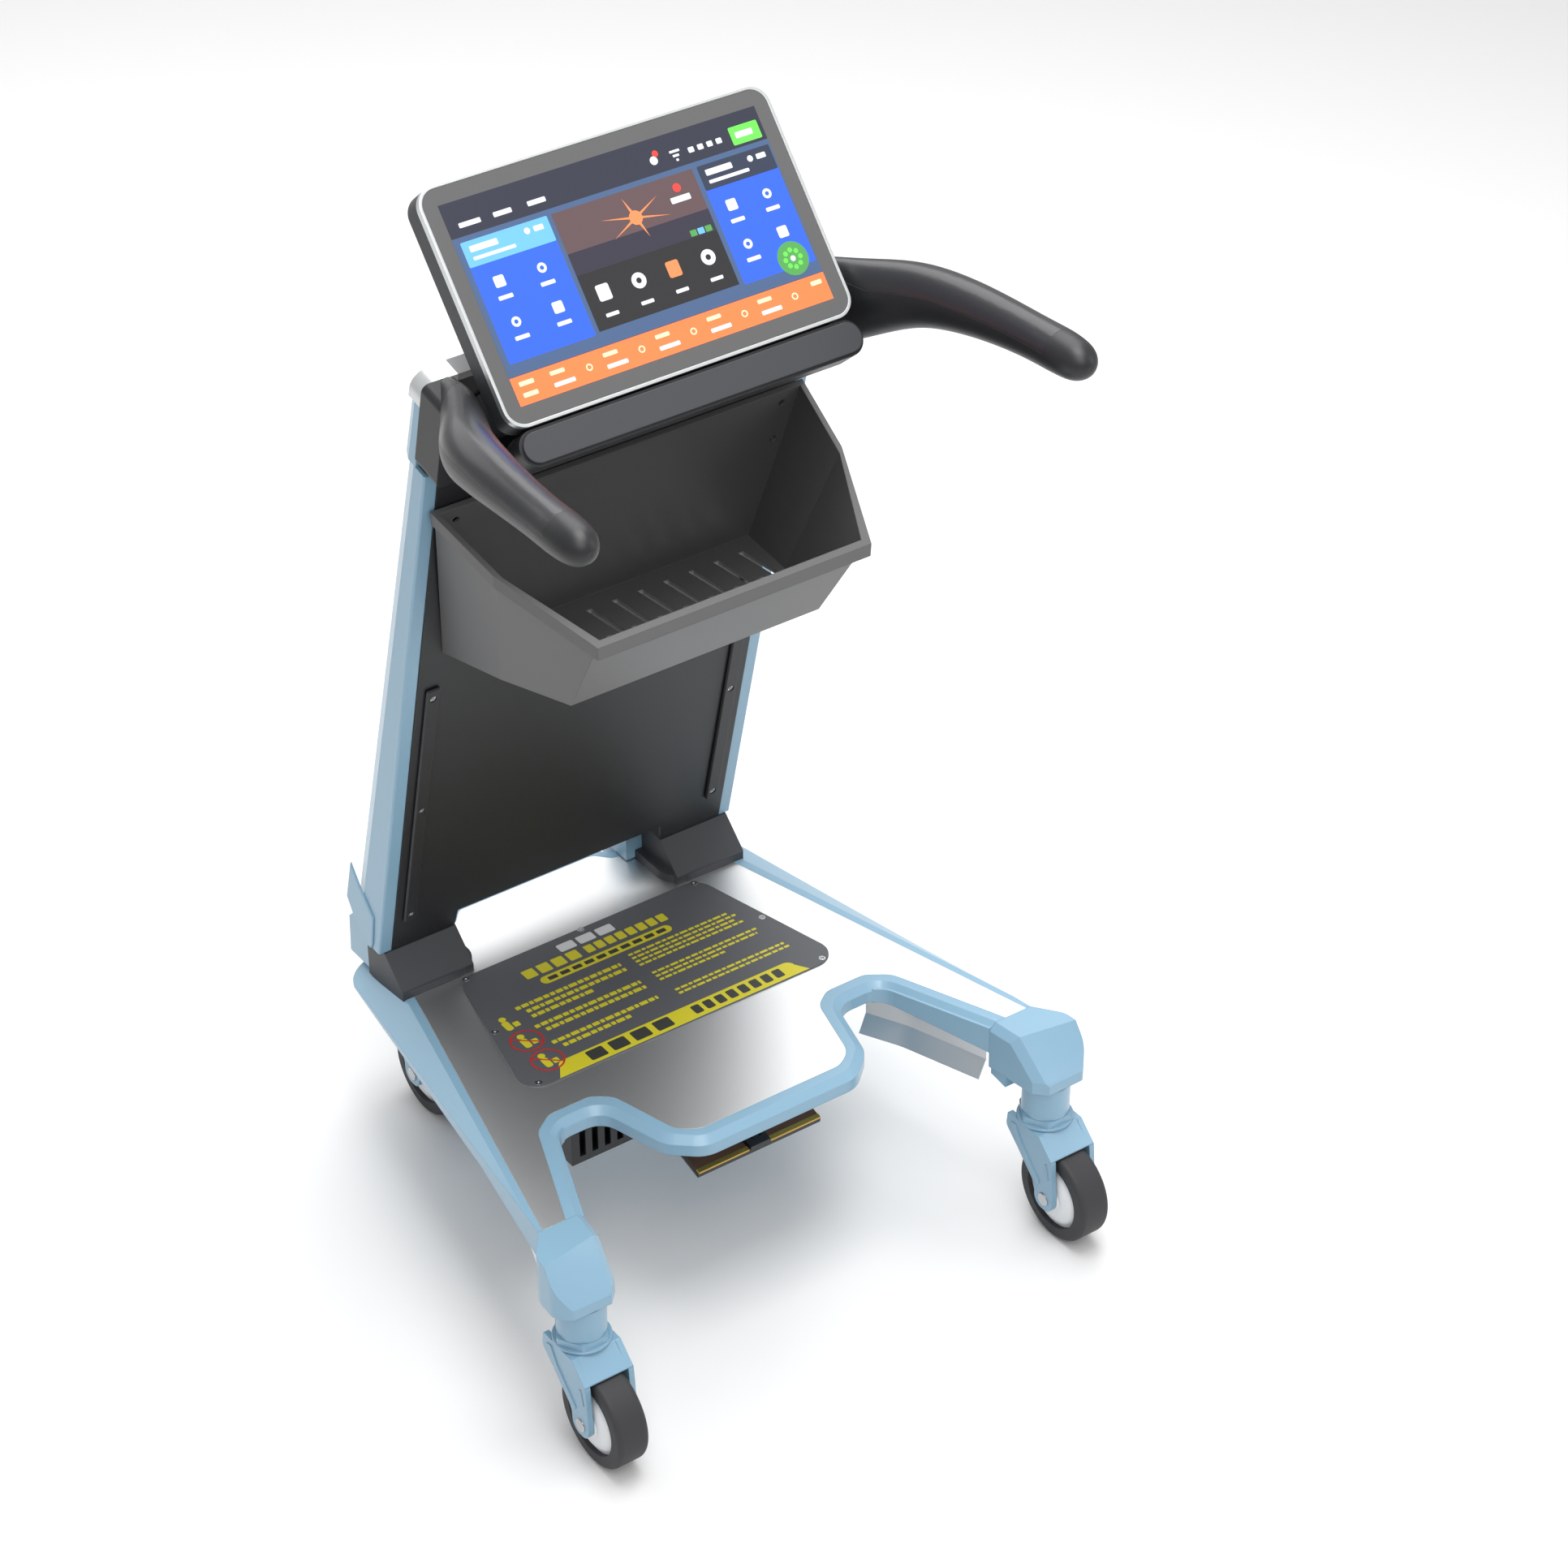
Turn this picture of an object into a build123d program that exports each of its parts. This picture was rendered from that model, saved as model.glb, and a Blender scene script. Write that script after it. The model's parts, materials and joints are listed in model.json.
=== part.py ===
from build123d import *
from math import atan2, cos, degrees, sin, sqrt
import os

# Airport luggage trolley with a display, a basket, two horn handles and four trailing swivel casters.
# Millimetres. +Z is up, +Y is the leading end with the column, -Y is where the user stands, +X is the
# user's right. The origin is on the floor under the middle of the box that holds everything.

os.makedirs("parts", exist_ok=True)

# ---- driving dimensions ------------------------------------------------------------------------------
WHEEL_R, TYRE_W, TYRE_BORE_R = 52.8, 36.0, 38.0
TRAIL = 36.8                                   # the axle lies this far behind the stem, on the user's side
FRONT_CASTER = (284.3, -245.0)                 # stem axis, mirrored for the left side
REAR_CASTER = (139.3, 305.1)
CROWN_TOP, CROWN_BOTTOM = 127.5, 112.5
FORK_GAP, FORK_W = 44.0, 56.0
COLLAR_R, COLLAR_BOTTOM, COLLAR_TOP = 25.0, 138.8, 176.0

DECK_Z, DECK_TILT = 226.6, 1.3                 # deck height at y = 0, and its tilt towards the column
DECK_DEPTH, SKIN, WALL = 20.0, 5.0, 8.0
LEG_DEPTH = 36.0
SEAM_Y = -196.0                                # where the leg-end castings join the deck frame
PLATE_T = 1.5
REAR_EDGE_Y = 305.0

FOOT_Y, FOOT_Z = 227.0, 262.7                  # lower front edge of the column
LEAN = 0.233                                   # the column comes back towards the user by this much per mm
SIDE_X, COLUMN_LEN = 219.5, 763.0               # half of the column's width, and its length
CAP_T = 735.2                                  # the silver corner caps start this far up the column
STEP_T, SET_BACK = 664.0, 16.3                 # above this height the column's front is set back
DEPTH_LOW, DEPTH_RATE = 61.0, 0.0311           # column depth at its foot, and what it loses per mm
PANEL_HALF = 204.8

SCREEN_C = (0.0, 44.0, 1087.0)                 # middle of the display's front face
SCREEN_W, SCREEN_H, SCREEN_T = 380.0, 232.0, 28.0
SCREEN_BACK_LEAN = 41.3
SPEAKER_W, SPEAKER_H, SPEAKER_T = 376.0, 35.0, 34.0
SPEAKER_V = -135.5                             # middle of the speaker bar, down the display's plane

BASKET_RIM_Z, BASKET_RIM_SLOPE = 835.7, 0.3627
BASKET_FLOOR_Z, BASKET_FLOOR_SLOPE = 687.4, -0.1058
BASKET_WALL = 3.5

# ---- working planes ----------------------------------------------------------------------------------
deck_plane = Plane(origin=(0, 0, DECK_Z), x_dir=(1, 0, 0)).rotated((-DECK_TILT, 0, 0))
lean_len = sqrt(1 + LEAN**2)
column_up = Vector(0, -LEAN / lean_len, 1 / lean_len)
column_back = Vector(0, 1 / lean_len, LEAN / lean_len)
column_foot = Vector(0, FOOT_Y, FOOT_Z)
screen_plane = Plane(origin=SCREEN_C, x_dir=(1, 0, 0)).rotated((90 - SCREEN_BACK_LEAN, 0, 0))


# ---- helpers -----------------------------------------------------------------------------------------
def outline(corners, radii=0):
    """A flat face inside a closed outline, with one radius for all corners or a list of them."""
    if radii == 0:
        return make_face(Polyline(*corners, close=True))
    return make_face(FilletPolyline(*corners, radius=radii, close=True))


def both_halves(half):
    """Close a right-hand outline with its mirror image; points on the middle line aren't doubled."""
    return half + [(-x, y) for x, y in reversed(half) if x > 0.01]


def both_radii(half, radii):
    return radii + [r for (x, y), r in reversed(list(zip(half, radii))) if x > 0.01]


def side_slab(corners, x_low, x_high, radii=0):
    """Extrude a (y, z) outline between two x values."""
    return extrude(Plane.YZ.offset(x_low) * outline(corners, radii), amount=x_high - x_low)


def column_plane(t):
    """Cross-section plane of the column, t up from its foot; local x is across, local y is depth."""
    return Plane(origin=column_foot + column_up * t, x_dir=(1, 0, 0), z_dir=column_up)


def column_face_plane(depth=0.0):
    """Plane of the column's front face; local x is across, local y is up the column, +z faces the user."""
    return Plane(origin=column_foot + column_back * depth, x_dir=(1, 0, 0), z_dir=column_back * -1)


def column_depth(t):
    return DEPTH_LOW - DEPTH_RATE * t


def along_x(radius, length, x_mid=0.0):
    """A cylinder on the X axis."""
    return Pos(x_mid, 0, 0) * Rot(0, 90, 0) * Cylinder(radius, length)


def upright(radius, z_low, z_high):
    return Pos(0, 0, (z_low + z_high) / 2) * Cylinder(radius, z_high - z_low)


def group(*shapes):
    return Compound([solid for shape in shapes for solid in shape.solids()])


def mirrored(shape):
    return mirror(shape, about=Plane.YZ)


def pair(shape):
    return group(shape, mirrored(shape))


def save(name, shape):
    export_step(shape, f"parts/{name}.step")


# ---- casters -----------------------------------------------------------------------------------------
PIN_R, RACE_R, PIN_CLEAR = 7.0, 15.0, 0.05
AXLE_R, BEARING_R, BEARING_W = 5.0, 11.0, 7.0
HUB_HALF = 21.4


def fork():
    crown_side = [(28, CROWN_TOP), (-24, CROWN_TOP), (-47, 107.5), (-44, 108), (-38, 109.5),
                  (-20, CROWN_BOTTOM), (28, CROWN_BOTTOM)]
    crown = side_slab(crown_side, -FORK_W / 2, FORK_W / 2)
    plan = Circle(FORK_W / 2) + Pos(0, -30) * Rectangle(FORK_W, 60)
    crown &= Pos(0, 0, 100) * extrude(plan, amount=40)
    leg_side = [(26, CROWN_TOP), (28, 110), (9, 93), (-21, 64), (-23, 39.3), (-50.6, 39.3),
                (-51, 62), (-49, 86), (-47, 107), (-25, CROWN_TOP)]
    leg_radii = [2, 9, 30, 20, 12.8, 12.8, 30, 30, 8, 4]
    gap = FORK_GAP / 2
    leg = side_slab(leg_side, gap, FORK_W / 2, leg_radii)
    rib_side = [(21, 118), (8, 97), (-26, 65), (-31, 70.5), (1, 103), (12, 121)]
    leg += side_slab(rib_side, FORK_W / 2 - 0.5, FORK_W / 2 + 1.2, [2, 14, 2.6, 2.6, 14, 2])
    line_side = [(-37, 100), (-41.5, 82), (-44, 82.6), (-39.5, 100.6)]
    leg += side_slab(line_side, FORK_W / 2 - 0.5, FORK_W / 2 + 0.8)
    shape = crown + leg + mirrored(leg)
    shape -= upright(RACE_R, CROWN_BOTTOM - 5, CROWN_TOP + 5)
    return shape - Pos(0, -TRAIL, WHEEL_R) * along_x(AXLE_R, FORK_W + 10)


def race():
    return upright(RACE_R, CROWN_BOTTOM + 0.3, CROWN_TOP - 0.3) - upright(PIN_R + PIN_CLEAR, 100, 140)


def axle():
    cap = along_x(7.5, 1.6, FORK_W / 2 + 0.8)
    cap = chamfer(cap.edges().sort_by(Axis.X)[-1], 0.6)
    return along_x(AXLE_R, FORK_W) + cap + mirrored(cap)


def tyre():
    ring = along_x(WHEEL_R, TYRE_W)
    ring = fillet(ring.edges().filter_by(GeomType.CIRCLE), 6)
    return ring - along_x(TYRE_BORE_R, TYRE_W + 2)


def wheel_core():
    side = [Line((-HUB_HALF, BEARING_R), (-HUB_HALF, 14)), Line((-HUB_HALF, 14), (-20.2, 16)),
            ThreePointArc((-20.2, 16), (-17.6, 28.5), (-12.5, 36.5)), Line((-12.5, 36.5), (-12.5, TYRE_BORE_R))]
    far_side = [mirror(edge, about=Plane.YZ) for edge in side]
    rim = Line((-12.5, TYRE_BORE_R), (12.5, TYRE_BORE_R))
    bore = Line((-HUB_HALF, BEARING_R), (HUB_HALF, BEARING_R))
    return revolve(make_face(side + far_side + [rim, bore]), axis=Axis.X)


def bearings():
    ring = along_x(BEARING_R, BEARING_W, HUB_HALF - BEARING_W / 2) - along_x(AXLE_R + PIN_CLEAR, 80)
    return pair(ring)


def stem():
    """The fixed part of a caster: stud, collar, kingpin and the head that holds the swivel race up."""
    stud = upright(8, COLLAR_TOP, COLLAR_TOP + 28)
    collar = upright(COLLAR_R, COLLAR_BOTTOM, COLLAR_TOP)
    pin = upright(PIN_R, 108, COLLAR_BOTTOM)
    head = chamfer(upright(10.5, 108, CROWN_BOTTOM - 0.1).edges().sort_by(Axis.Z)[0], 1)
    return stud + collar + pin + head


def stem_nut():
    """Hexagonal adjusting nut with a round flange, under the collar."""
    hexagon = Pos(0, 0, 131) * extrude(RegularPolygon(29, 6), amount=COLLAR_BOTTOM - 131)
    hexagon &= upright(28.2, 130, 140)
    flange = upright(29.5, CROWN_TOP + 0.8, 131)
    return hexagon + fillet(flange.edges().sort_by(Axis.Z)[-1], 1) - upright(PIN_R, 120, 140)


# ---- deck frame --------------------------------------------------------------------------------------
NOTCH = [(0, -179), (92, -179), (123.6, -150.5), (145, -71.5), (198, -71.5), (246.4, SEAM_Y)]
NOTCH_R = [0, 34, 34, 24, 26, 0]
OUTER = [(299, SEAM_Y), (227.8, 285), (104, 285), (88, REAR_EDGE_Y), (0, REAR_EDGE_Y)]
OUTER_R = [0, 24, 12, 12, 0]
PLATE = [(0, -159), (84, -159), (104.4, -147), (126, -66), (146, -51.5), (194, -51.5), (217.5, -68),
         (267.4, SEAM_Y), (294, SEAM_Y), (180.6, 276), (100, 276), (84, 294), (0, 294)]
PLATE_R = [0, 20, 30, 26, 20, 20, 26, 0, 0, 6, 12, 12, 0]


def deck_face():
    half = NOTCH + OUTER
    return outline(both_halves(half), both_radii(half, NOTCH_R + OUTER_R))


def plate_face():
    return outline(both_halves(PLATE), both_radii(PLATE, PLATE_R))


def fold_x(y):
    """Where the flat top of the rim ends and its side starts to slope."""
    return 255.4 - 0.2328 * y


def edge_x(y):
    """Where the sloping side of the rim meets the upright side wall."""
    return 270 - 0.148 * y


def rim_side_cut():
    """The wedge taken off the outer edge, wide at the column and vanishing at the leg end."""
    def section(y, drop):
        inner, outer = fold_x(y), max(edge_x(y), fold_x(y) + 2) + 12
        low = -drop * (outer - inner) / (outer - 12 - inner)
        return Plane(origin=(0, y, 0), x_dir=(1, 0, 0), z_dir=(0, -1, 0)) * make_face(
            Polyline((inner, 0), (outer, low), (outer, 10), (inner, 10), close=True))
    return loft([section(320, 17), section(SEAM_Y - 5, 2)], ruled=True)


def base_frame():
    body = extrude(deck_face(), amount=-DECK_DEPTH)
    top_edges = body.faces().sort_by(Axis.Z)[-1].edges()
    notch_edges = [e for e in top_edges if e.center().Y < -60 and abs(e.center().X) < 246
                   and abs(e.center().Y - SEAM_Y) > 1]
    body = chamfer(notch_edges, 7, 9)
    cut = rim_side_cut()
    body = body - cut - mirrored(cut)
    pocket = offset(deck_face(), amount=-WALL) & outline(both_halves(
        [(fold_x(400) + WALL, 400), (fold_x(-400) + WALL, -400)]))
    body -= Pos(0, 0, -SKIN) * extrude(pocket, amount=-40)
    leg_side = [(SEAM_Y, -LEG_DEPTH), (SEAM_Y, -SKIN), (60, -SKIN), (60, -DECK_DEPTH), (-60, -DECK_DEPTH)]
    leg = side_slab(leg_side, 190, 320) & extrude(deck_face(), amount=-60)
    leg_pocket = Pos(0, 0, -SKIN) * extrude(pocket, amount=-40) & Box(900, 2 * (-SEAM_Y - 14), 200)
    half = (body + (leg - cut - leg_pocket)) & Pos(500, 0, 0) * Box(1000, 2000, 400)
    body = half + mirrored(half)
    body -= Pos(0, 0, -PLATE_T) * extrude(plate_face(), amount=10)
    body = deck_plane * body
    boss = Pos(REAR_CASTER[0], REAR_CASTER[1], 0) * upright(29, COLLAR_TOP, 222)
    boss = fillet(boss.edges().sort_by(Axis.Z)[-1], 5)
    web = side_slab([(278, 186), (278, 216), (310, 216), (310, 186)], 122, 157)
    post = side_slab([(206, 215), (206, 240), (230, 262), (249, 262), (249, 215)], 150, 198)
    bore = Pos(REAR_CASTER[0], REAR_CASTER[1], 0) * upright(8.1, COLLAR_TOP - 1, COLLAR_TOP + 29)
    for half in (boss + web, post):
        body += half + mirrored(half)
    return body - pair(bore)


def leg_end():
    """Right-hand leg-end casting over the front caster."""
    plan = outline([(246.4, SEAM_Y), (299, SEAM_Y), (321, -226), (323, -256), (310, -270.5), (266, -271),
                    (254, -258)], [0, 0, 24, 16, 5, 0, 0])
    body = deck_plane * extrude(plan, amount=-54)

    def slope_section(x, crease_y):
        return Plane.YZ.offset(x) * outline([(crease_y, 232), (-269.5, 193), (-320, 130), (-340, 280),
                                             (crease_y, 280)])
    body -= loft([slope_section(235, -226), slope_section(335, -244)], ruled=True)
    inner = [e for e in body.edges() if e.center().X < 255 and e.center().Z > 205 and e.center().Y < -197
             and abs((e % 0.5).Z) < 0.9]
    body = chamfer(inner, 8)
    tab = side_slab([(-222, 165), (-222, 180), (-198, 180), (-198, 168)], 249, 262)
    stem_bore = Pos(FRONT_CASTER[0], FRONT_CASTER[1], 0) * (
        upright(8.1, 150, COLLAR_TOP + 29) + upright(COLLAR_R + 0.1, 150, COLLAR_TOP))
    return body + tab - stem_bore


def deck_plate(frame):
    return deck_plane * Pos(0, 0, -PLATE_T) * extrude(plate_face(), amount=PLATE_T) - frame


INFO_SCREWS = [(143, 185), (-143, 185), (0, 186.7), (166.2, 91.7), (-166.2, 91.7), (175.1, -4.2),
               (-175.1, -4.2), (0, -7)]


def screw(radius, depth):
    """Countersunk screw, head face up at z = 0, with a round socket."""
    head = Pos(0, 0, -radius / 4) * Cone(radius / 2, radius, radius / 2)
    shank = Pos(0, 0, -depth / 2) * Cylinder(radius / 2, depth)
    return head + shank - Pos(0, 0, -0.5) * Cylinder(radius / 2.6, 1.01)


def info_plate():
    corners = both_halves([(195.6, -12), (150, 189)])
    body = extrude(outline(corners, 24), amount=PLATE_T)
    for x, y in INFO_SCREWS:
        body -= Pos(x, y, 0) * Cylinder(4.2, 8)
    return deck_plane * body


def info_plate_screws():
    one = screw(4, 1.5) & Pos(0, 0, -0.75) * Box(20, 20, 1.5)
    return group(*[deck_plane * Pos(x, y, PLATE_T) * one for x, y in INFO_SCREWS])


# ---- under the deck ----------------------------------------------------------------------------------
def guide_rail(frame, plate):
    """Right-hand bent stainless sheet under the leg: an upright web over a sloping lower flange."""
    path = FilletPolyline((276, -157), (243, -66), (220, -22), radius=90)
    web = Pos(0, 0, 144) * extrude(trace(path, 2), amount=82)
    inner_path = FilletPolyline((262, -163), (229, -72), (206, -29), radius=90)
    high = Pos(0, 0, 147) * trace(path, 2)
    low = Pos(0, 0, 130) * trace(inner_path, 2)
    flange = loft([low.face(), high.face()])
    return web + flange - frame - plate


def vent_housing(frame):
    body = Pos(-127, 4, 186) * Box(86, 116, 72)
    body -= Pos(-127, 4, 186) * Box(80, 110, 66)
    for i in range(5):
        body -= Pos(-157 + 15 * i, -54, 176) * Box(7, 10, 36)
    return body - frame


def battery_pack():
    body = Pos(-127, 10, 182) * Box(70, 84, 50)
    return fillet(body.edges().filter_by(Axis.Z), 4)


def junction_housing(frame):
    body = Pos(-52, -57, 187) * Box(60, 34, 70)
    body = chamfer(body.edges().sort_by(Axis.Z)[0:4], 5)
    return body - frame


contact_plane = Plane(origin=(0, -140, 152), x_dir=(1, 0, 0)).rotated((14, 0, 0))


def contact_plate(frame):
    plate = Pos(0, 32, -2.5) * Box(151, 64, 5)
    return contact_plane * plate + Pos(0, -95, 190) * Box(24, 30, 60) - frame


def contact_pads():
    return pair(contact_plane * Pos(44, 34, 0.9) * Box(62, 56, 1.8))


def contact_strips():
    return pair(contact_plane * Pos(44, 2.8, 1.5) * Box(62, 5.2, 3))


def contact_block(arm):
    body = contact_plane * Pos(0, 21, 3) * Box(24, 42, 6)
    for x in (-5, 5):
        body -= contact_plane * Pos(x, 10, 6) * Cylinder(1.8, 4)
    return body - arm


# ---- column ------------------------------------------------------------------------------------------
def column_foot_cut():
    """What the oblique lower end takes off the column, in the side view of depth and height."""
    corners = [(-20, 0), (0, 0), (23.5, -3.2), (49.8, 12.8), (67, 29), (90, 52), (90, -60), (-20, -60)]
    return column_side_slab(corners, -300, 300)


def rail_section(t):
    """Right-hand rail: chamfered front, upright side, chamfered back, open inside."""
    d = column_depth(t)
    wall = SIDE_X - 4.5
    outer = [(PANEL_HALF, 0.8), (SIDE_X - 1.5, 0.8), (SIDE_X, 2.3), (SIDE_X, d - 21), (SIDE_X - 10, d), (172, d),
             (172, d - 4), (wall - 8, d - 4), (wall, d - 22), (wall, 5.5), (PANEL_HALF, 5.5)]
    return column_plane(t) * make_face(Polyline(*outer, close=True))


def high_rail_section(t):
    """The rail beside the handle, with its front set back."""
    d = column_depth(t)
    wall = SIDE_X - 4.5
    outer = [(PANEL_HALF, SET_BACK), (SIDE_X, SET_BACK), (SIDE_X, d - 11), (SIDE_X - 5, d), (172, d), (172, d - 4),
             (wall - 4, d - 4), (wall, d - 12), (wall, SET_BACK + 4), (PANEL_HALF, SET_BACK + 4)]
    return column_plane(t) * make_face(Polyline(*outer, close=True))


def column_rail():
    low = loft([rail_section(-6), rail_section(STEP_T)], ruled=True)
    high = loft([high_rail_section(STEP_T), high_rail_section(CAP_T)], ruled=True)
    return low + high - column_foot_cut()


def front_panel():
    edge = PANEL_HALF - 0.3
    half = [(0, 21.5), (126.5, 21.5), (129, 0.3), (edge, 0.3), (edge, STEP_T), (0, STEP_T)]
    upper = [(0, STEP_T), (edge, STEP_T), (edge, CAP_T - 0.3), (181, CAP_T - 0.3), (181, COLUMN_LEN - 8.3),
             (0, COLUMN_LEN - 8.3)]
    radii = [0, 2, 4, 0, 0, 0]
    body = column_face_plane() * extrude(outline(both_halves(half), both_radii(half, radii)), amount=-4)
    body += column_face_plane(SET_BACK + 0.4) * extrude(outline(both_halves(upper)), amount=-4)
    shelf = [(0, STEP_T - 4), (SET_BACK + 4.4, STEP_T - 4), (SET_BACK + 4.4, STEP_T), (0, STEP_T)]
    body += column_side_slab(shelf, -180, 180)
    for x in (-159, 159):
        body -= column_face_plane(SET_BACK) * Pos(x, 731, 0) * Cylinder(4, 6)
    return body - column_foot_cut()


def column_side_slab(corners, x_low, x_high):
    """Extrude an outline given as (depth, height up the column) between two x values."""
    points = [column_foot + column_back * d + column_up * t for d, t in corners]
    return side_slab([(p.Y, p.Z) for p in points], x_low, x_high)


def rear_cover():
    def section(t):
        d = column_depth(t)
        return column_plane(t) * Pos(0, d - 2) * Rectangle(343.6, 4)
    return loft([section(34), section(COLUMN_LEN - 8.3)], ruled=True) - column_foot_cut()


def corner_cap():
    """Silver corner at the top of the right-hand rail."""
    depth = column_depth(CAP_T) - SET_BACK - 0.3
    shape = outline([(182, CAP_T + 0.2), (SIDE_X, CAP_T + 0.2), (SIDE_X, COLUMN_LEN), (182, COLUMN_LEN)],
                    [0, 0, 20, 0])
    body = column_face_plane(SET_BACK) * extrude(shape, amount=-depth)
    inside = outline([(181, CAP_T - 1), (SIDE_X - 4.5, CAP_T - 1), (SIDE_X - 4.5, COLUMN_LEN - 5),
                      (181, COLUMN_LEN - 5)],
                     [0, 0, 15, 0])
    return body - column_face_plane(SET_BACK + 5) * extrude(inside, amount=-(depth - 10))


def top_cover():
    depth = column_depth(CAP_T)
    low, high = COLUMN_LEN - 8, COLUMN_LEN
    return column_side_slab([(SET_BACK, low), (SET_BACK, high), (depth, high), (depth, low)], -181.8, 181.8)


def foot_cap():
    """Right-hand cap over the lower end of the rail, standing 2 mm proud of its side."""
    corners = [(65, 80), (44, 62), (15, 43), (12, 6), (14, -2), (23.5, -3.2), (49.8, 12.8), (66, 28.6)]
    plate = column_side_slab(corners, SIDE_X + 0.05, SIDE_X + 2.2)
    return chamfer(plate.faces().sort_by(Axis.X)[-1].edges(), 1)


def foot_cover(frame, plate, column):
    """Right-hand dark cover over the column's foot: a low flange and a block that slopes up to the column."""
    flange = Pos(0, 0, 215) * extrude(outline([(119, 193), (213.6, 193), (213.6, 262), (119, 262)],
                                              [26, 1.5, 0, 0]), amount=17)
    sides = [(194, 215), (194, 232), (226.4, 262.2), (250.5, 264.4), (262, 250), (262, 215)]
    block = side_slab(sides, 128, 213.6)
    post_gap = side_slab([(205.7, 200), (205.7, 240.2), (229.9, 262.1), (249.3, 262.1), (249.3, 200)],
                         149.7, 198.3)
    return flange + block - post_gap - frame - plate - column


def foot_casting(frame, plate, column):
    """Right-hand casting on the deck's back corner that the column's oblique end stands on."""
    corners = [(262.3, 222), (262.3, 275), (270, 282.5), (286, 280), (298, 268), (300, 222)]
    body = side_slab(corners, 108, 213)
    ends = [e for e in body.faces().sort_by(Axis.X)[0].edges() if e.center().Y > 263 and e.center().Z > 223]
    return fillet(ends, 4) - frame - plate - column


STRIP_LOW, STRIP_HIGH, STRIP_X, STRIP_W = 40.0, 377.0, 187.3, 16.0
STRIP_SCREWS = (50.0, 205.0, 364.0)


def wear_strip():
    shape = outline([(STRIP_X - STRIP_W / 2, STRIP_LOW), (STRIP_X + STRIP_W / 2, STRIP_LOW),
                     (STRIP_X + STRIP_W / 2, STRIP_HIGH), (STRIP_X - STRIP_W / 2, STRIP_HIGH)], 2)
    body = column_face_plane() * extrude(shape, amount=4)
    body = chamfer(body.faces().sort_by(Axis.Y)[0].edges(), 1.5)
    for t in STRIP_SCREWS:
        body -= column_face_plane() * Pos(STRIP_X, t, 2) * Cylinder(3.7, 5)
    return body


def panel_screw(x, t, height=0.0):
    one = Pos(0, 0, 1.5) * Cylinder(3.5, 3) - Pos(0, 0, 2.5) * Cylinder(1.8, 2)
    return column_face_plane() * Pos(x, t, height) * one


def wear_strip_screws():
    return group(*[panel_screw(side * STRIP_X, t) for side in (-1, 1) for t in STRIP_SCREWS])


# ---- basket ------------------------------------------------------------------------------------------
RIM = [(0, 84.7), (211.3, 84.7), (197.6, 0.3), (154.3, -107.2), (0, -107.2)]
FLOOR = [(0, 131), (180, 131), (166, 48), (142.8, -39.1), (0, -39.1)]
rim_plane_z = lambda y: BASKET_RIM_Z + BASKET_RIM_SLOPE * y
floor_plane_z = lambda y: BASKET_FLOOR_Z + BASKET_FLOOR_SLOPE * y


def ring_face(half, inset, height_at, lift):
    """A face through a mirrored outline that lies on a sloping plane, pulled in towards the middle."""
    centre_y = sum(y for x, y in half) / len(half)
    points = []
    for x, y in both_halves(half):
        x_in = x - inset * (1 if x > 0 else -1) if x else 0
        y_in = y + inset * (1 if y < centre_y else -1)
        points.append((x_in, y_in, height_at(y_in) + lift))
    return make_face(Polyline(*points, close=True))


def basket():
    outer = loft([ring_face(FLOOR, 0, floor_plane_z, 0), ring_face(RIM, 3, rim_plane_z, 0)], ruled=True)
    inner = loft([ring_face(FLOOR, BASKET_WALL, floor_plane_z, BASKET_WALL + 1),
                  ring_face(RIM, 3 + BASKET_WALL, rim_plane_z, 2)], ruled=True)
    lip = loft([ring_face(RIM, 0.5, rim_plane_z, -14), ring_face(RIM, 0, rim_plane_z, 0)], ruled=True)
    body = outer + lip - inner
    for row, (y_mid, length, start) in enumerate(((72, 62, -150), (18, 56, -135))):
        for i in range(11 - row):
            x = start + 30 * i
            body -= Pos(x, y_mid, 680) * Box(7, length, 40)
    body &= column_face_plane() * Pos(0, 400, 150) * Box(600, 900, 300)
    for x in (-185.5, 185.5):
        for t in (557, 604):
            body -= column_face_plane() * Pos(x * (1 if t > 600 else 0.99), t, 0) * Cylinder(3.6, 40)
    return body


def basket_screws():
    return group(*[panel_screw(side * 185.5 * k, t) for side in (-1, 1) for t, k in ((557, 0.99), (604, 1))])


# ---- handles -----------------------------------------------------------------------------------------
def handle():
    """Right-hand handle: a bracket on the column, and a horn that curves out and forward to a round tip."""
    edge = SIDE_X + 1.5
    bracket_shape = outline([(180, 669), (edge, 669), (edge, 764), (180, 764)], [10, 8, 8, 18])
    bracket = column_face_plane(SET_BACK) * extrude(bracket_shape, amount=SET_BACK + 22)
    stations = [((197, 62, 969), (0.05, -1, 0.10), 17, 44), ((205, 30, 980), (0.22, -1, 0.30), 19, 43),
                ((224, -8, 994), (0.45, -1, 0.36), 23, 38), ((245, -50, 1008), (0.35, -1, 0.24), 25, 32),
                ((257, -100, 1017), (0.12, -1, 0.07), 24, 27.5), ((267, -215, 1026), (0.05, -1, 0.03), 20.5, 21.5),
                ((268, -254, 1027.5), (0.03, -1, 0.03), 20, 20), ((268, -267, 1027.6), (0, -1, 0), 17, 17),
                ((268, -276, 1027.6), (0, -1, 0), 10.5, 10.5), ((268, -279.5, 1027.6), (0, -1, 0), 3, 3)]
    sections = [Plane(origin=p, x_dir=(-d[1], d[0], 0), z_dir=d) * Ellipse(a, b) for p, d, a, b in stations]
    horn = loft([section.face() for section in sections])
    return bracket + horn


def grip_zone():
    corners = [(-236, 1030), (-236, 1080), (34, 1080), (34, 1016), (-20, 1012), (-90, 1024)]
    return side_slab(corners, 180, 320)


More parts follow.
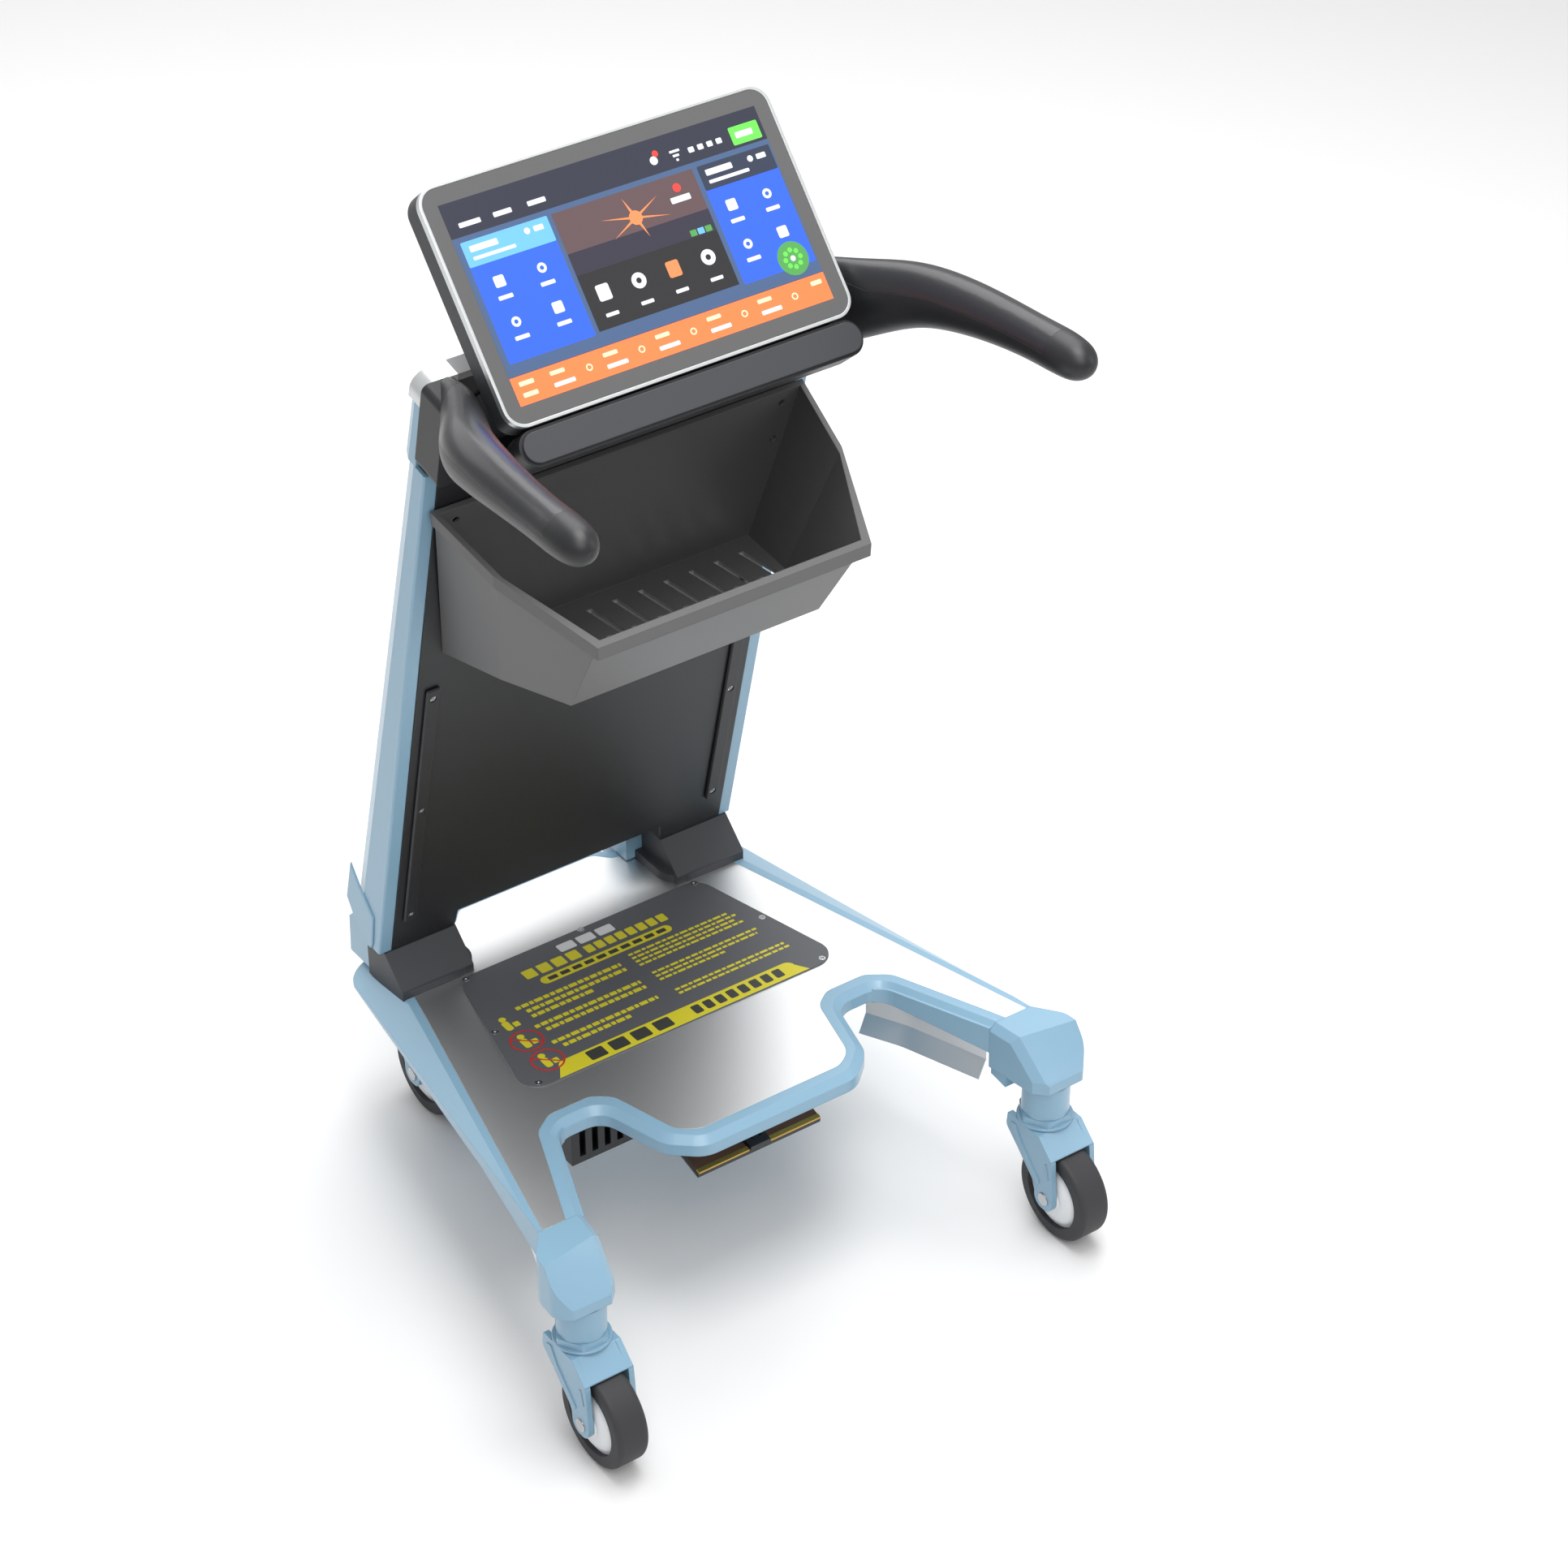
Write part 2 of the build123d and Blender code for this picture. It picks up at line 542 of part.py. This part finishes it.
# ---- display and speaker -----------------------------------------------------------------------------
def screen_slab(width, height, radius, z_low, z_high, v=0.0):
    shape = RectangleRounded(width, height, radius)
    return screen_plane * Pos(0, v, z_low) * extrude(shape, amount=z_high - z_low)


def display_frame():
    ring = screen_slab(SCREEN_W, SCREEN_H, 20, -7, 0)
    return ring - screen_slab(SCREEN_W - 6, SCREEN_H - 6, 17, -8, 1)


def display_glass():
    return screen_slab(SCREEN_W - 6.4, SCREEN_H - 6.4, 16.8, -3.2, -0.4)


def lcd_panel():
    return screen_slab(352, 202, 2, -10, -3.4)


def display_shell():
    body = screen_slab(SCREEN_W, SCREEN_H, 20, -SCREEN_T, -7)
    return body - screen_slab(SCREEN_W - 8, SCREEN_H - 8, 16, -SCREEN_T + 4, -6)


def display_bracket(column):
    corners = [(75.3, 1000), (50, 1025), (32.4, 1030.9), (2.6, 997.1), (-9.4, 974.4), (-29.3, 951.9),
               (86.5, 951.9)]
    return side_slab(corners, -70, 70) - column - speaker_body()


def speaker_body():
    shape = SlotOverall(SPEAKER_W, SPEAKER_H)
    return screen_plane * Pos(0, SPEAKER_V, -SPEAKER_T) * extrude(shape, amount=SPEAKER_T - 4)


def speaker_face():
    shape = SlotOverall(SPEAKER_W - 6, SPEAKER_H - 6)
    return screen_plane * Pos(0, SPEAKER_V, -4) * extrude(shape, amount=3.5)


# ---- build and export --------------------------------------------------------------------------------
def build_casters():
    swivel_parts = {"fork": fork(), "race": race()}
    wheel_parts = {"axle": axle(), "tyre": tyre(), "wheel_core": wheel_core(), "bearings": bearings()}
    places = []
    for end, (x, y) in (("front", FRONT_CASTER), ("rear", REAR_CASTER)):
        for side, sign in (("left", -1), ("right", 1)):
            at_stem = Pos(sign * x, y, 0)
            at_axle = Pos(sign * x, y - TRAIL, WHEEL_R)
            places.append(at_stem)
            for name, shape in swivel_parts.items():
                save(f"{name}_{end}_{side}", at_stem * shape)
            for name, shape in wheel_parts.items():
                save(f"{name}_{end}_{side}", at_axle * shape)
    save("caster_stems", group(*[place * stem() for place in places]))
    save("stem_nuts", group(*[place * stem_nut() for place in places]))


def build_deck():
    frame = base_frame()
    save("base_frame", frame)
    save("leg_end_castings", pair(leg_end()))
    plate = deck_plate(frame)
    save("deck_plate", plate)
    save("info_plate", info_plate())
    save("info_plate_screws", info_plate_screws())
    save("guide_rails", pair(guide_rail(frame, plate)))
    save("vent_housing", vent_housing(frame))
    save("battery_pack", battery_pack())
    save("junction_housing", junction_housing(frame))
    arm = contact_plate(frame)
    save("contact_plate", arm)
    save("contact_pads", contact_pads())
    save("contact_strips", contact_strips())
    save("contact_block", contact_block(arm))
    return frame, plate


def build_column(frame, plate):
    rail = column_rail()
    panel = front_panel()
    cover = rear_cover()
    top = top_cover()
    save("column_rails", pair(rail))
    save("front_panel", panel)
    save("rear_cover", cover)
    save("corner_caps", pair(corner_cap()))
    save("top_cover", top)
    save("foot_caps", pair(foot_cap()))
    save("foot_covers", pair(foot_cover(frame, plate, rail + panel)))
    save("foot_castings", pair(foot_casting(frame, plate, rail + panel + cover)))
    save("wear_strips", pair(wear_strip()))
    save("wear_strip_screws", wear_strip_screws())
    save("basket", basket())
    save("basket_screws", basket_screws())
    horn = handle() - rail - corner_cap() - panel
    save("handle_shells", pair(horn - grip_zone()))
    save("grip_inserts", pair(horn & grip_zone()))
    save("display_frame", display_frame())
    save("display_glass", display_glass())
    save("lcd_panel", lcd_panel())
    save("display_shell", display_shell())
    save("display_bracket", display_bracket(panel + top))
    save("speaker_body", speaker_body())
    save("speaker_face", speaker_face())


build_casters()
build_column(*build_deck())
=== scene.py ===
import json
import math

import bmesh
import bpy
from mathutils import Matrix, Vector


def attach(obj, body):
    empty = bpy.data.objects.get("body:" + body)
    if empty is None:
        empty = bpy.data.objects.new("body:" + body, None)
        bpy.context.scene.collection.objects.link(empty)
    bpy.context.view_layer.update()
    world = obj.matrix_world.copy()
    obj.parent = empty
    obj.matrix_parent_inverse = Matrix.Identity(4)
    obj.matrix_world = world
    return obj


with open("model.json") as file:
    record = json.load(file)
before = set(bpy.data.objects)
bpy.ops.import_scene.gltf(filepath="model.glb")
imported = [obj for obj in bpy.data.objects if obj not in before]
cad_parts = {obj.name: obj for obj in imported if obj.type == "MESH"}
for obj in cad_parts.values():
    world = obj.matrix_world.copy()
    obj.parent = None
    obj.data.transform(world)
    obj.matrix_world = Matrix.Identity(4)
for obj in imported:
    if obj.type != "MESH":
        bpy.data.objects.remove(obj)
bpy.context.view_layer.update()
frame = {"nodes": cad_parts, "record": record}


# ---- materials ---------------------------------------------------------------------------------------
def linear(rgb):
    """Linear colour and alpha from 0 to 255 display values."""
    return [((c / 255 + 0.055) / 1.055) ** 2.4 if c > 10 else c / 255 / 12.92 for c in rgb] + [1.0]


def shader(name, rgb, rough=0.4, metal=0.0, grain=0.0, scale=400.0, coat=0.0, bevel=0.0, mottle=0.0):
    """A principled material with optional grain, soft mottling of its roughness and rounded edges."""
    m = bpy.data.materials.new(name)
    m.use_nodes = True
    nt = m.node_tree
    b = nt.nodes["Principled BSDF"]
    b.inputs["Base Color"].default_value = linear(rgb)
    b.inputs["Roughness"].default_value = rough
    b.inputs["Metallic"].default_value = metal
    b.inputs["Coat Weight"].default_value = coat
    b.inputs["Coat Roughness"].default_value = 0.12
    normal = None
    if bevel:
        bv = nt.nodes.new("ShaderNodeBevel")
        bv.samples = 4
        bv.inputs["Radius"].default_value = bevel
        normal = bv.outputs["Normal"]
    if grain or mottle:
        tc = nt.nodes.new("ShaderNodeTexCoord")
        noise = nt.nodes.new("ShaderNodeTexNoise")
        noise.inputs["Scale"].default_value = scale
        noise.inputs["Detail"].default_value = 3.0
        nt.links.new(tc.outputs["Object"], noise.inputs["Vector"])
    if grain:
        bump = nt.nodes.new("ShaderNodeBump")
        bump.inputs["Strength"].default_value = grain
        bump.inputs["Distance"].default_value = 0.0006
        nt.links.new(noise.outputs["Fac"], bump.inputs["Height"])
        if normal:
            nt.links.new(normal, bump.inputs["Normal"])
        normal = bump.outputs["Normal"]
    if mottle:
        ramp = nt.nodes.new("ShaderNodeMapRange")
        ramp.inputs["To Min"].default_value = rough - mottle
        ramp.inputs["To Max"].default_value = rough + mottle
        nt.links.new(noise.outputs["Fac"], ramp.inputs["Value"])
        nt.links.new(ramp.outputs["Result"], b.inputs["Roughness"])
    if normal:
        nt.links.new(normal, b.inputs["Normal"])
    return m


def brushed(name, rgb, rough, bevel):
    """Stainless steel brushed along x."""
    m = shader(name, rgb, rough, 1.0)
    nt = m.node_tree
    b = nt.nodes["Principled BSDF"]
    tc = nt.nodes.new("ShaderNodeTexCoord")
    mp = nt.nodes.new("ShaderNodeMapping")
    mp.inputs["Scale"].default_value = (6.0, 900.0, 900.0)
    noise = nt.nodes.new("ShaderNodeTexNoise")
    noise.inputs["Scale"].default_value = 1.0
    noise.inputs["Detail"].default_value = 4.0
    bump = nt.nodes.new("ShaderNodeBump")
    bump.inputs["Strength"].default_value = 0.12
    bump.inputs["Distance"].default_value = 0.0004
    bv = nt.nodes.new("ShaderNodeBevel")
    bv.samples = 4
    bv.inputs["Radius"].default_value = bevel
    nt.links.new(tc.outputs["Object"], mp.inputs["Vector"])
    nt.links.new(mp.outputs["Vector"], noise.inputs["Vector"])
    nt.links.new(noise.outputs["Fac"], bump.inputs["Height"])
    nt.links.new(bv.outputs["Normal"], bump.inputs["Normal"])
    nt.links.new(bump.outputs["Normal"], b.inputs["Normal"])
    return m


MATERIALS = {
    "blue_paint": shader("blue_paint", (130, 167, 190), 0.36, grain=0.05, scale=1500, coat=0.35,
                         bevel=0.0016),
    "tyre_rubber": shader("tyre_rubber", (48, 48, 51), 0.62, grain=0.12, scale=900, bevel=0.001),
    "hub_white": shader("hub_white", (222, 224, 226), 0.38, grain=0.03, scale=900, bevel=0.0008),
    "bright_steel": shader("bright_steel", (190, 191, 193), 0.26, 1.0, bevel=0.0006, mottle=0.06, scale=120),
    "brushed_stainless": brushed("brushed_stainless", (236, 237, 238), 0.4, 0.0008),
    "info_grey": shader("info_grey", (84, 86, 90), 0.5, grain=0.04, scale=1200, bevel=0.0008),
    "black_panel": shader("black_panel", (30, 31, 34), 0.45, grain=0.08, scale=1600, bevel=0.001),
    "dark_grey_cover": shader("dark_grey_cover", (54, 56, 60), 0.5, grain=0.1, scale=1500, bevel=0.0014),
    "basket_grey": shader("basket_grey", (92, 92, 92), 0.44, grain=0.08, scale=1500, bevel=0.0014),
    "handle_dark": shader("handle_dark", (30, 31, 33), 0.42, grain=0.06, scale=1500, bevel=0.0016),
    "grip_grey": shader("grip_grey", (33, 34, 37), 0.36, grain=0.04, scale=900, coat=0.15, bevel=0.001),
    "silver_aluminium": shader("silver_aluminium", (214, 217, 217), 0.34, 0.75, grain=0.08, scale=1400,
                               bevel=0.001),
    "light_grey_cover": shader("light_grey_cover", (150, 151, 152), 0.5, grain=0.06, scale=1500, bevel=0.001),
    "screen_glass": shader("screen_glass", (88, 88, 89), 0.14, coat=1.0),
    "contact_brown": shader("contact_brown", (96, 66, 48), 0.5, grain=0.08, scale=900, bevel=0.0008),
    "contact_gold": shader("contact_gold", (214, 170, 84), 0.28, 1.0, bevel=0.0004),
}
slots = {s["node"]: s["material_slot"] for s in frame["record"]["subparts"]}
for name, obj in frame["nodes"].items():
    obj.data.materials.clear()
    obj.data.materials.append(MATERIALS[slots[name]])


# ---- small mesh helpers ------------------------------------------------------------------------------
def make_piece(name, bm, material):
    """Turn a bmesh into an object that rides on the fixed frame."""
    me = bpy.data.meshes.new(name)
    bm.to_mesh(me)
    bm.free()
    o = bpy.data.objects.new(name, me)
    bpy.context.scene.collection.objects.link(o)
    me.materials.append(material)
    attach(o, "frame")


def polygon(bm, points, matrix, depth):
    """A thin flat tile with the given outline, its top at z = 0 of the matrix."""
    top = [bm.verts.new(matrix @ Vector((x, y, 0))) for x, y in points]
    low = [bm.verts.new(matrix @ Vector((x, y, -depth))) for x, y in points]
    bm.faces.new(top)
    bm.faces.new(low[::-1])
    n = len(points)
    for i in range(n):
        bm.faces.new([top[(i + 1) % n], top[i], low[i], low[(i + 1) % n]])


def rounded(x0, y0, x1, y1, r):
    """Corners of a box whose corners are arcs of radius r."""
    r = min(r, (x1 - x0) / 2 - 1e-6, (y1 - y0) / 2 - 1e-6)
    if r <= 1e-6:
        return [(x0, y0), (x1, y0), (x1, y1), (x0, y1)]
    arcs = (
        (x1 - r, y0 + r, -90),
        (x1 - r, y1 - r, 0),
        (x0 + r, y1 - r, 90),
        (x0 + r, y0 + r, 180),
    )
    out = []
    for cx, cy, start in arcs:
        for i in range(6):
            a = math.radians(start + 18 * i)
            out.append((cx + r * math.cos(a), cy + r * math.sin(a)))
    return out


def disc(cx, cy, r, n=20):
    turns = [2 * math.pi * i / n for i in range(n)]
    return [(cx + r * math.cos(a), cy + r * math.sin(a)) for a in turns]


def ring(bm, cx, cy, r0, r1, matrix, n=28):
    for i in range(n):
        a, b = 2 * math.pi * i / n, 2 * math.pi * (i + 1) / n
        corners = [(r0, a), (r1, a), (r1, b), (r0, b)]
        points = [Vector((cx + r * math.cos(t), cy + r * math.sin(t), 0)) for r, t in corners]
        bm.faces.new([bm.verts.new(matrix @ p) for p in points])


def flat(name, rgb, rough=0.5, glow=0.0, coat=0.0):
    """A plain colour, which glows a little where it is part of the lit screen."""
    m = shader(name, rgb, rough, coat=coat)
    b = m.node_tree.nodes["Principled BSDF"]
    if glow:
        b.inputs["Emission Color"].default_value = linear(rgb)
        b.inputs["Emission Strength"].default_value = glow
    return m


# ---- screen picture: plain tiles, bars and discs -----------------------------------------------------
SCREEN_LEAN = 41.3                    # degrees, as in the CAD part
SCREEN_MIDDLE = (0, 0.044, 1.087)
UI_W, UI_H = 0.344, 0.1935            # the lit area
ASPECT = UI_H / UI_W
SCREEN_BASE, LAYER = -0.00036, 0.00003
TILE_T = 0.00001
screen = Matrix.Translation(SCREEN_MIDDLE) @ Matrix.Rotation(math.radians(90 - SCREEN_LEAN), 4, "X")
SCREEN_COLOURS = {
    "slate": ((40, 43, 56), 0.15),
    "haze": ((62, 84, 118), 0.2),
    "blue": ((40, 84, 232), 0.35),
    "sky": ((92, 156, 226), 0.4),
    "night": ((40, 48, 66), 0.25),
    "dusk": ((84, 66, 68), 0.2),
    "ember": ((206, 120, 74), 0.35),
    "shade": ((44, 42, 56), 0.15),
    "strip": ((34, 34, 36), 0.1),
    "orange": ((246, 112, 62), 0.35),
    "pale": ((250, 196, 160), 0.4),
    "white": ((196, 200, 208), 0.25),
    "green": ((92, 196, 72), 0.4),
    "red": ((226, 56, 48), 0.4),
    "leaf": ((72, 140, 70), 0.25),
}
tiles = {key: [] for key in SCREEN_COLOURS}


def tile(key, points, level):
    """Queue a tile; points are shares of the lit area, from its top left corner."""
    place = [((u - 0.5) * UI_W, (0.5 - v) * UI_H) for u, v in points]
    area = sum(a[0] * b[1] - b[0] * a[1] for a, b in zip(place, place[1:] + place[:1]))
    tiles[key].append((place if area > 0 else place[::-1], level))


def box(key, u0, v0, u1, v1, level, r=0.0):
    tile(key, [(a, b / ASPECT) for a, b in rounded(u0, v0 * ASPECT, u1, v1 * ASPECT, r)], level)


def dot(key, u, v, r, level):
    tile(key, [(a, b / ASPECT) for a, b in disc(u, v * ASPECT, r)], level)


def top_row():
    for i, width in enumerate((0.066, 0.056, 0.056)):
        u = 0.035 + 0.105 * i
        box("white", u, 0.106, u + width, 0.13, 3, 0.003)
    dot("white", 0.647, 0.105, 0.012, 3)
    dot("red", 0.658, 0.075, 0.009, 4)
    for i in range(3):
        step, drop = 0.006 * i, 0.022 * i
        box("white", 0.70 + step, 0.085 + drop, 0.732 - step, 0.097 + drop, 3, 0.002)
    for i in range(4):
        u = 0.757 + 0.03 * i
        box("white", u, 0.095, u + 0.018, 0.122, 3, 0.003)
    box("green", 0.895, 0.065, 0.988, 0.155, 3, 0.004)
    box("white", 0.91, 0.095, 0.965, 0.125, 4, 0.003)


def side_tile(u0, u1, header):
    """A blue block with a header and four plain signs."""
    box("blue", u0, 0.196, u1, 0.80, 3, 0.004)
    box(header, u0, 0.196, u1, 0.32, 4, 0.004)
    box("white", u0 + 0.02, 0.222, u0 + 0.105, 0.252, 5, 0.003)
    box("white", u0 + 0.02, 0.275, u0 + 0.15, 0.292, 5, 0.003)
    dot("white", u1 - 0.07, 0.236, 0.009, 5)
    box("white", u1 - 0.05, 0.224, u1 - 0.02, 0.25, 5, 0.003)
    for column in (0, 1):
        for row in (0, 1):
            u = u0 + (0.065 + 0.13 * column) * (u1 - u0) / 0.266
            v = 0.42 + 0.2 * row
            if (column + row) % 2:
                dot("white", u, v, 0.014, 5)
                dot("blue", u, v, 0.006, 6)
            else:
                box("white", u - 0.016, v - 0.03, u + 0.016, v + 0.026, 5, 0.005)
            box("white", u - 0.022, v + 0.066, u + 0.022, v + 0.086, 5, 0.003)


def middle_picture():
    """A six-armed star on a dusky tile, with a dark row of signs under it."""
    box("dusk", 0.298, 0.196, 0.745, 0.51, 3)
    box("shade", 0.298, 0.40, 0.745, 0.51, 4)
    u, v, half_width, reach = 0.53, 0.335, 0.006, 0.11
    for i in range(6):
        a = math.radians(20 + 60 * i)
        across = half_width * math.sin(a)
        up = half_width * math.cos(a) / ASPECT * 0.6
        tip = (u + reach * math.cos(a), v + reach * math.sin(a) / ASPECT * 0.55)
        tile("ember", [(u + across, v - up), (u - across, v + up), tip], 5 + i * 0.1)
    dot("ember", u, v, 0.02, 6)
    dot("red", 0.68, 0.26, 0.012, 6)
    box("white", 0.648, 0.30, 0.71, 0.33, 6, 0.003)
    for i, key in enumerate(("leaf", "sky", "leaf")):
        box(key, 0.665 + 0.024 * i, 0.475, 0.685 + 0.024 * i, 0.505, 6, 0.002)
    box("strip", 0.298, 0.51, 0.745, 0.79, 3)
    for i in range(4):
        u = 0.355 + 0.111 * i
        if i % 2:
            dot("white", u, 0.62, 0.022, 4)
            dot("strip", u, 0.62, 0.008, 5)
        else:
            box("white" if i == 0 else "ember", u - 0.02, 0.58, u + 0.02, 0.66, 4, 0.006)
        box("white", u - 0.02, 0.72, u + 0.02, 0.738, 4, 0.003)


def bottom_strip():
    box("orange", 0, 0.862, 1, 1, 4)
    box("pale", 0.02, 0.89, 0.065, 0.912, 5, 0.003)
    box("pale", 0.02, 0.945, 0.065, 0.967, 5, 0.003)
    for i in range(5):
        u = 0.115 + 0.165 * i
        box("pale", u, 0.89, u + 0.045, 0.91, 5, 0.003)
        box("white", u, 0.947, u + 0.065, 0.968, 5, 0.003)
        dot("pale", u + 0.115, 0.93, 0.01, 5)
        dot("orange", u + 0.115, 0.93, 0.006, 6)
    box("pale", 0.95, 0.89, 0.985, 0.912, 5, 0.003)


def bubble():
    u, v = 0.93, 0.755
    dot("leaf", u, v, 0.048, 5.5)
    for i in range(8):
        a = math.radians(45 * i)
        dot("green", u + 0.024 * math.cos(a), v + 0.043 * math.sin(a), 0.007, 7)
    dot("white", u, v, 0.008, 7)


box("slate", 0, 0, 1, 1, 1)
box("haze", 0, 0.17, 1, 0.86, 2)
top_row()
side_tile(0.018, 0.284, "sky")
side_tile(0.76, 0.995, "night")
middle_picture()
bottom_strip()
bubble()
for key, (rgb, glow) in SCREEN_COLOURS.items():
    bm = bmesh.new()
    for points, level in tiles[key]:
        lift = Matrix.Translation((0, 0, SCREEN_BASE + LAYER * level))
        polygon(bm, points, screen @ lift, TILE_T)
    make_piece("screen_" + key, bm, flat("screen_" + key, rgb, 0.22, glow, 0.8))


# ---- print on the information plate: plain blocks, in millimetres on the plate -----------------------
DECK_Z, DECK_TILT = 0.2266, 1.3
PLATE_TOP = 0.00158
PRINT_T = 0.03
deck = Matrix.Translation((0, 0, DECK_Z)) @ Matrix.Rotation(math.radians(-DECK_TILT), 4, "X")
plate = deck @ Matrix.Translation((0, 0, PLATE_TOP)) @ Matrix.Scale(0.001, 4)
over_print = plate @ Matrix.Translation((0, 0, 0.04))
LEFT_LINES = ((113, -129, 0), (103, -122, 0), (93, -122, -45), (76, -129, 0), (66, -122, 0),
              (44, -129, 0), (34, -122, -40))
RIGHT_LINES = ((119, 15, 141), (112, 15, 146), (105, 15, 140), (98, 15, 146), (79, 18, 150),
               (72, 18, 146), (65, 18, 100), (41, 21, 158), (34, 21, 160))
BLOCK_WIDTHS = (5.5, 8.0, 4.5, 9.5, 6.5)
SIGN_X = -148


def bar(bm, x0, y0, x1, y1, r, matrix=plate):
    polygon(bm, rounded(x0, y0, x1, y1, r), matrix, PRINT_T)


def line(bm, x0, x1, y, height):
    """A run of short blocks."""
    x, i = x0, 0
    while x < x1 - 2:
        width = BLOCK_WIDTHS[i % len(BLOCK_WIDTHS)]
        bar(bm, x, y - height / 2, min(x + width, x1), y + height / 2, 0.6)
        x += width + 1.6
        i += 1


def headings(white, yellow, ink):
    for i in range(3):
        bar(white, -38 + 24 * i, 165, -18 + 24 * i, 178, 2)
    for i in range(4):
        bar(yellow, -92 + 18 * i, 146, -78 + 18 * i, 161, 1.5)
    for i in range(8):
        bar(yellow, -16 + 13 * i, 147, -6 + 13 * i, 160, 1.5)
    bar(yellow, -83, 128, 79, 141, 6.5)
    for i in range(10):
        bar(ink, -74 + 15 * i, 131.5, -63 + 15 * i, 137.5, 1, over_print)


def paragraphs(yellow):
    for y, x0, x1 in LEFT_LINES:
        line(yellow, x0, x1, y - 2, 5.4)
    for y, x0, x1 in RIGHT_LINES:
        line(yellow, x0, x1, y, 3.4)


def front_band(yellow, ink):
    upper = [p for p in rounded(-145, -11.5, 145, 12, 9) if p[1] > 0]
    polygon(yellow, [(-154, -11.5), (154, -11.5)] + upper, plate, PRINT_T)
    for i in range(4):
        bar(ink, -112 + 27 * i, -7, -92 + 27 * i, 9, 2, over_print)
    for i in range(8):
        bar(ink, 16 + 14.5 * i, -6, 26 + 14.5 * i, 8, 2, over_print)


def signs(yellow, red):
    """Three plain signs, two of them struck out in red."""
    for y in (95, 60, 21):
        bar(yellow, SIGN_X - 7, y - 11, SIGN_X + 1, y + 5, 3)
        polygon(yellow, disc(SIGN_X - 2, y + 9, 4), plate, PRINT_T)
        bar(yellow, SIGN_X + 3, y - 9, SIGN_X + 10, y - 1, 1)
    for y in (60, 21):
        ring(red, SIGN_X, y, 16, 18, plate @ Matrix.Translation((0, 0, 0.05)))
        middle = plate @ Matrix.Translation((SIGN_X, y, 0.05))
        across = middle @ Matrix.Rotation(math.radians(-40), 4, "Z")
        polygon(red, [(-16.5, -0.9), (16.5, -0.9), (16.5, 0.9), (-16.5, 0.9)], across, PRINT_T)


yellow, white, red, ink = bmesh.new(), bmesh.new(), bmesh.new(), bmesh.new()
headings(white, yellow, ink)
paragraphs(yellow)
front_band(yellow, ink)
signs(yellow, red)
for name, bm, rgb in (("print_yellow", yellow, (206, 196, 40)), ("print_white", white, (206, 208, 210)),
                      ("print_red", red, (190, 34, 34)), ("print_ink", ink, (52, 54, 52))):
    make_piece(name, bm, flat(name, rgb))


# ---- camera, lights and floor ------------------------------------------------------------------------
FLOOR_SIZE = 14
cam_data = bpy.data.cameras.new("camera")
cam_data.lens = 95.589
cam_data.sensor_width = 36
camera = bpy.data.objects.new("camera", cam_data)
camera.location = (-1.84393, -2.77002, 2.88924)
camera.rotation_euler = (math.radians(54.5374), 0, math.radians(-35.4648))
bpy.context.scene.collection.objects.link(camera)
bpy.context.scene.camera = camera


def area(name, place, target, size, power):
    """A soft rectangular light that looks at the target."""
    d = bpy.data.lights.new(name, "AREA")
    d.shape = "RECTANGLE"
    d.size, d.size_y = size
    d.energy = power
    o = bpy.data.objects.new(name, d)
    o.location = place
    o.rotation_euler = (Vector(target) - Vector(place)).to_track_quat("-Z", "Y").to_euler()
    bpy.context.scene.collection.objects.link(o)


area("key", (-1.2, -2.6, 3.7), (0, 0, 0.5), (2.6, 2.6), 66)
area("overhead", (0.9, 1.3, 3.2), (0, 0, 0.4), (2.6, 2.6), 70)
area("top", (0.0, -0.5, 3.6), (0, 0, 0.4), (1.6, 1.6), 62)
area("fill", (2.8, -2.2, 1.8), (0, 0, 0.6), (2.0, 2.4), 20)
area("back", (-0.6, 3.2, 2.2), (0, 0, 0.6), (2.6, 1.8), 22)
world = bpy.data.worlds.new("world")
world.use_nodes = True
world.node_tree.nodes["Background"].inputs["Color"].default_value = (1, 1, 1, 1)
world.node_tree.nodes["Background"].inputs["Strength"].default_value = 0.5
bpy.context.scene.world = world
bpy.context.scene.view_settings.view_transform = "Standard"
bm = bmesh.new()
bmesh.ops.create_grid(bm, x_segments=1, y_segments=1, size=FLOOR_SIZE)
me = bpy.data.meshes.new("floor")
bm.to_mesh(me)
bm.free()
floor = bpy.data.objects.new("floor", me)
bpy.context.scene.collection.objects.link(floor)
floor.location = (0, 0, -0.0005)
me.materials.append(flat("floor_white", (228, 228, 228), 0.9))
